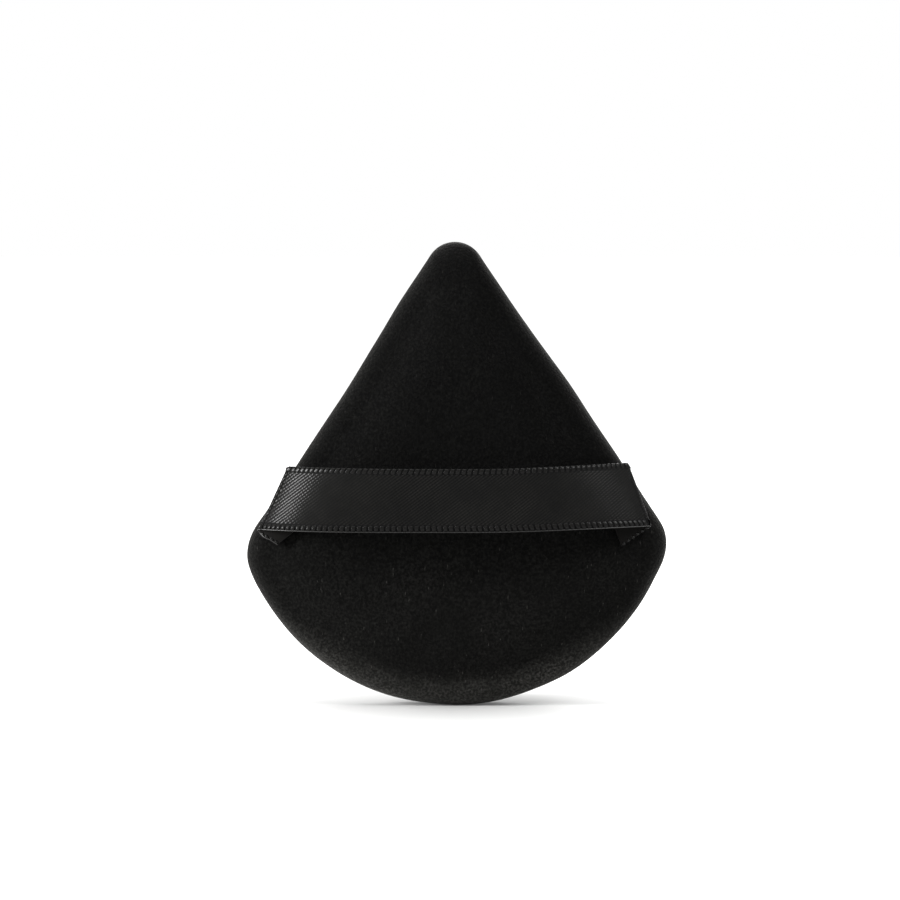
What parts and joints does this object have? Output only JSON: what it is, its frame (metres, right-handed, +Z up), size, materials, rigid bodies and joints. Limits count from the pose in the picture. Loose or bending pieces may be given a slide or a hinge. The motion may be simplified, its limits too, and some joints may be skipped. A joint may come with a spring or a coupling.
{
  "type": "triangle makeup puff",
  "caption": "Soft velour powder puff in a rounded triangle with a deeply curved lower edge and a loose satin finger ribbon across the front.",
  "frame": {"origin": "on the table plane, midway across and midway front to back of the whole puff, ribbon included", "axes": "+Z up to the rounded apex, +X to the right as seen from the ribbon side, -Y out of the ribbon side"},
  "size_m": [0.0664, 0.0186, 0.0735],
  "materials": {
    "velour": "black short-pile velour",
    "satin_ribbon": "black woven satin with picot edges",
    "foam": "open-cell sponge foam",
    "sewing_thread": "black twisted polyester"
  },
  "bodies": {
    "pad": {"front_cover": "velour", "back_cover": "velour", "foam_core": "foam", "rim_seam_thread": "sewing_thread", "ribbon_end_left": "satin_ribbon", "ribbon_end_right": "satin_ribbon", "tack_thread_left": "sewing_thread", "tack_thread_right": "sewing_thread"},
    "strap": {"ribbon_span": "satin_ribbon"}
  },
  "joints": [
    {"name": "strap_lift", "type": "slide", "parent": "pad", "child": "strap", "axis": [0, -1, 0], "range_m": [0, 0.006], "stiffness_N_per_m": 2}
  ]
}
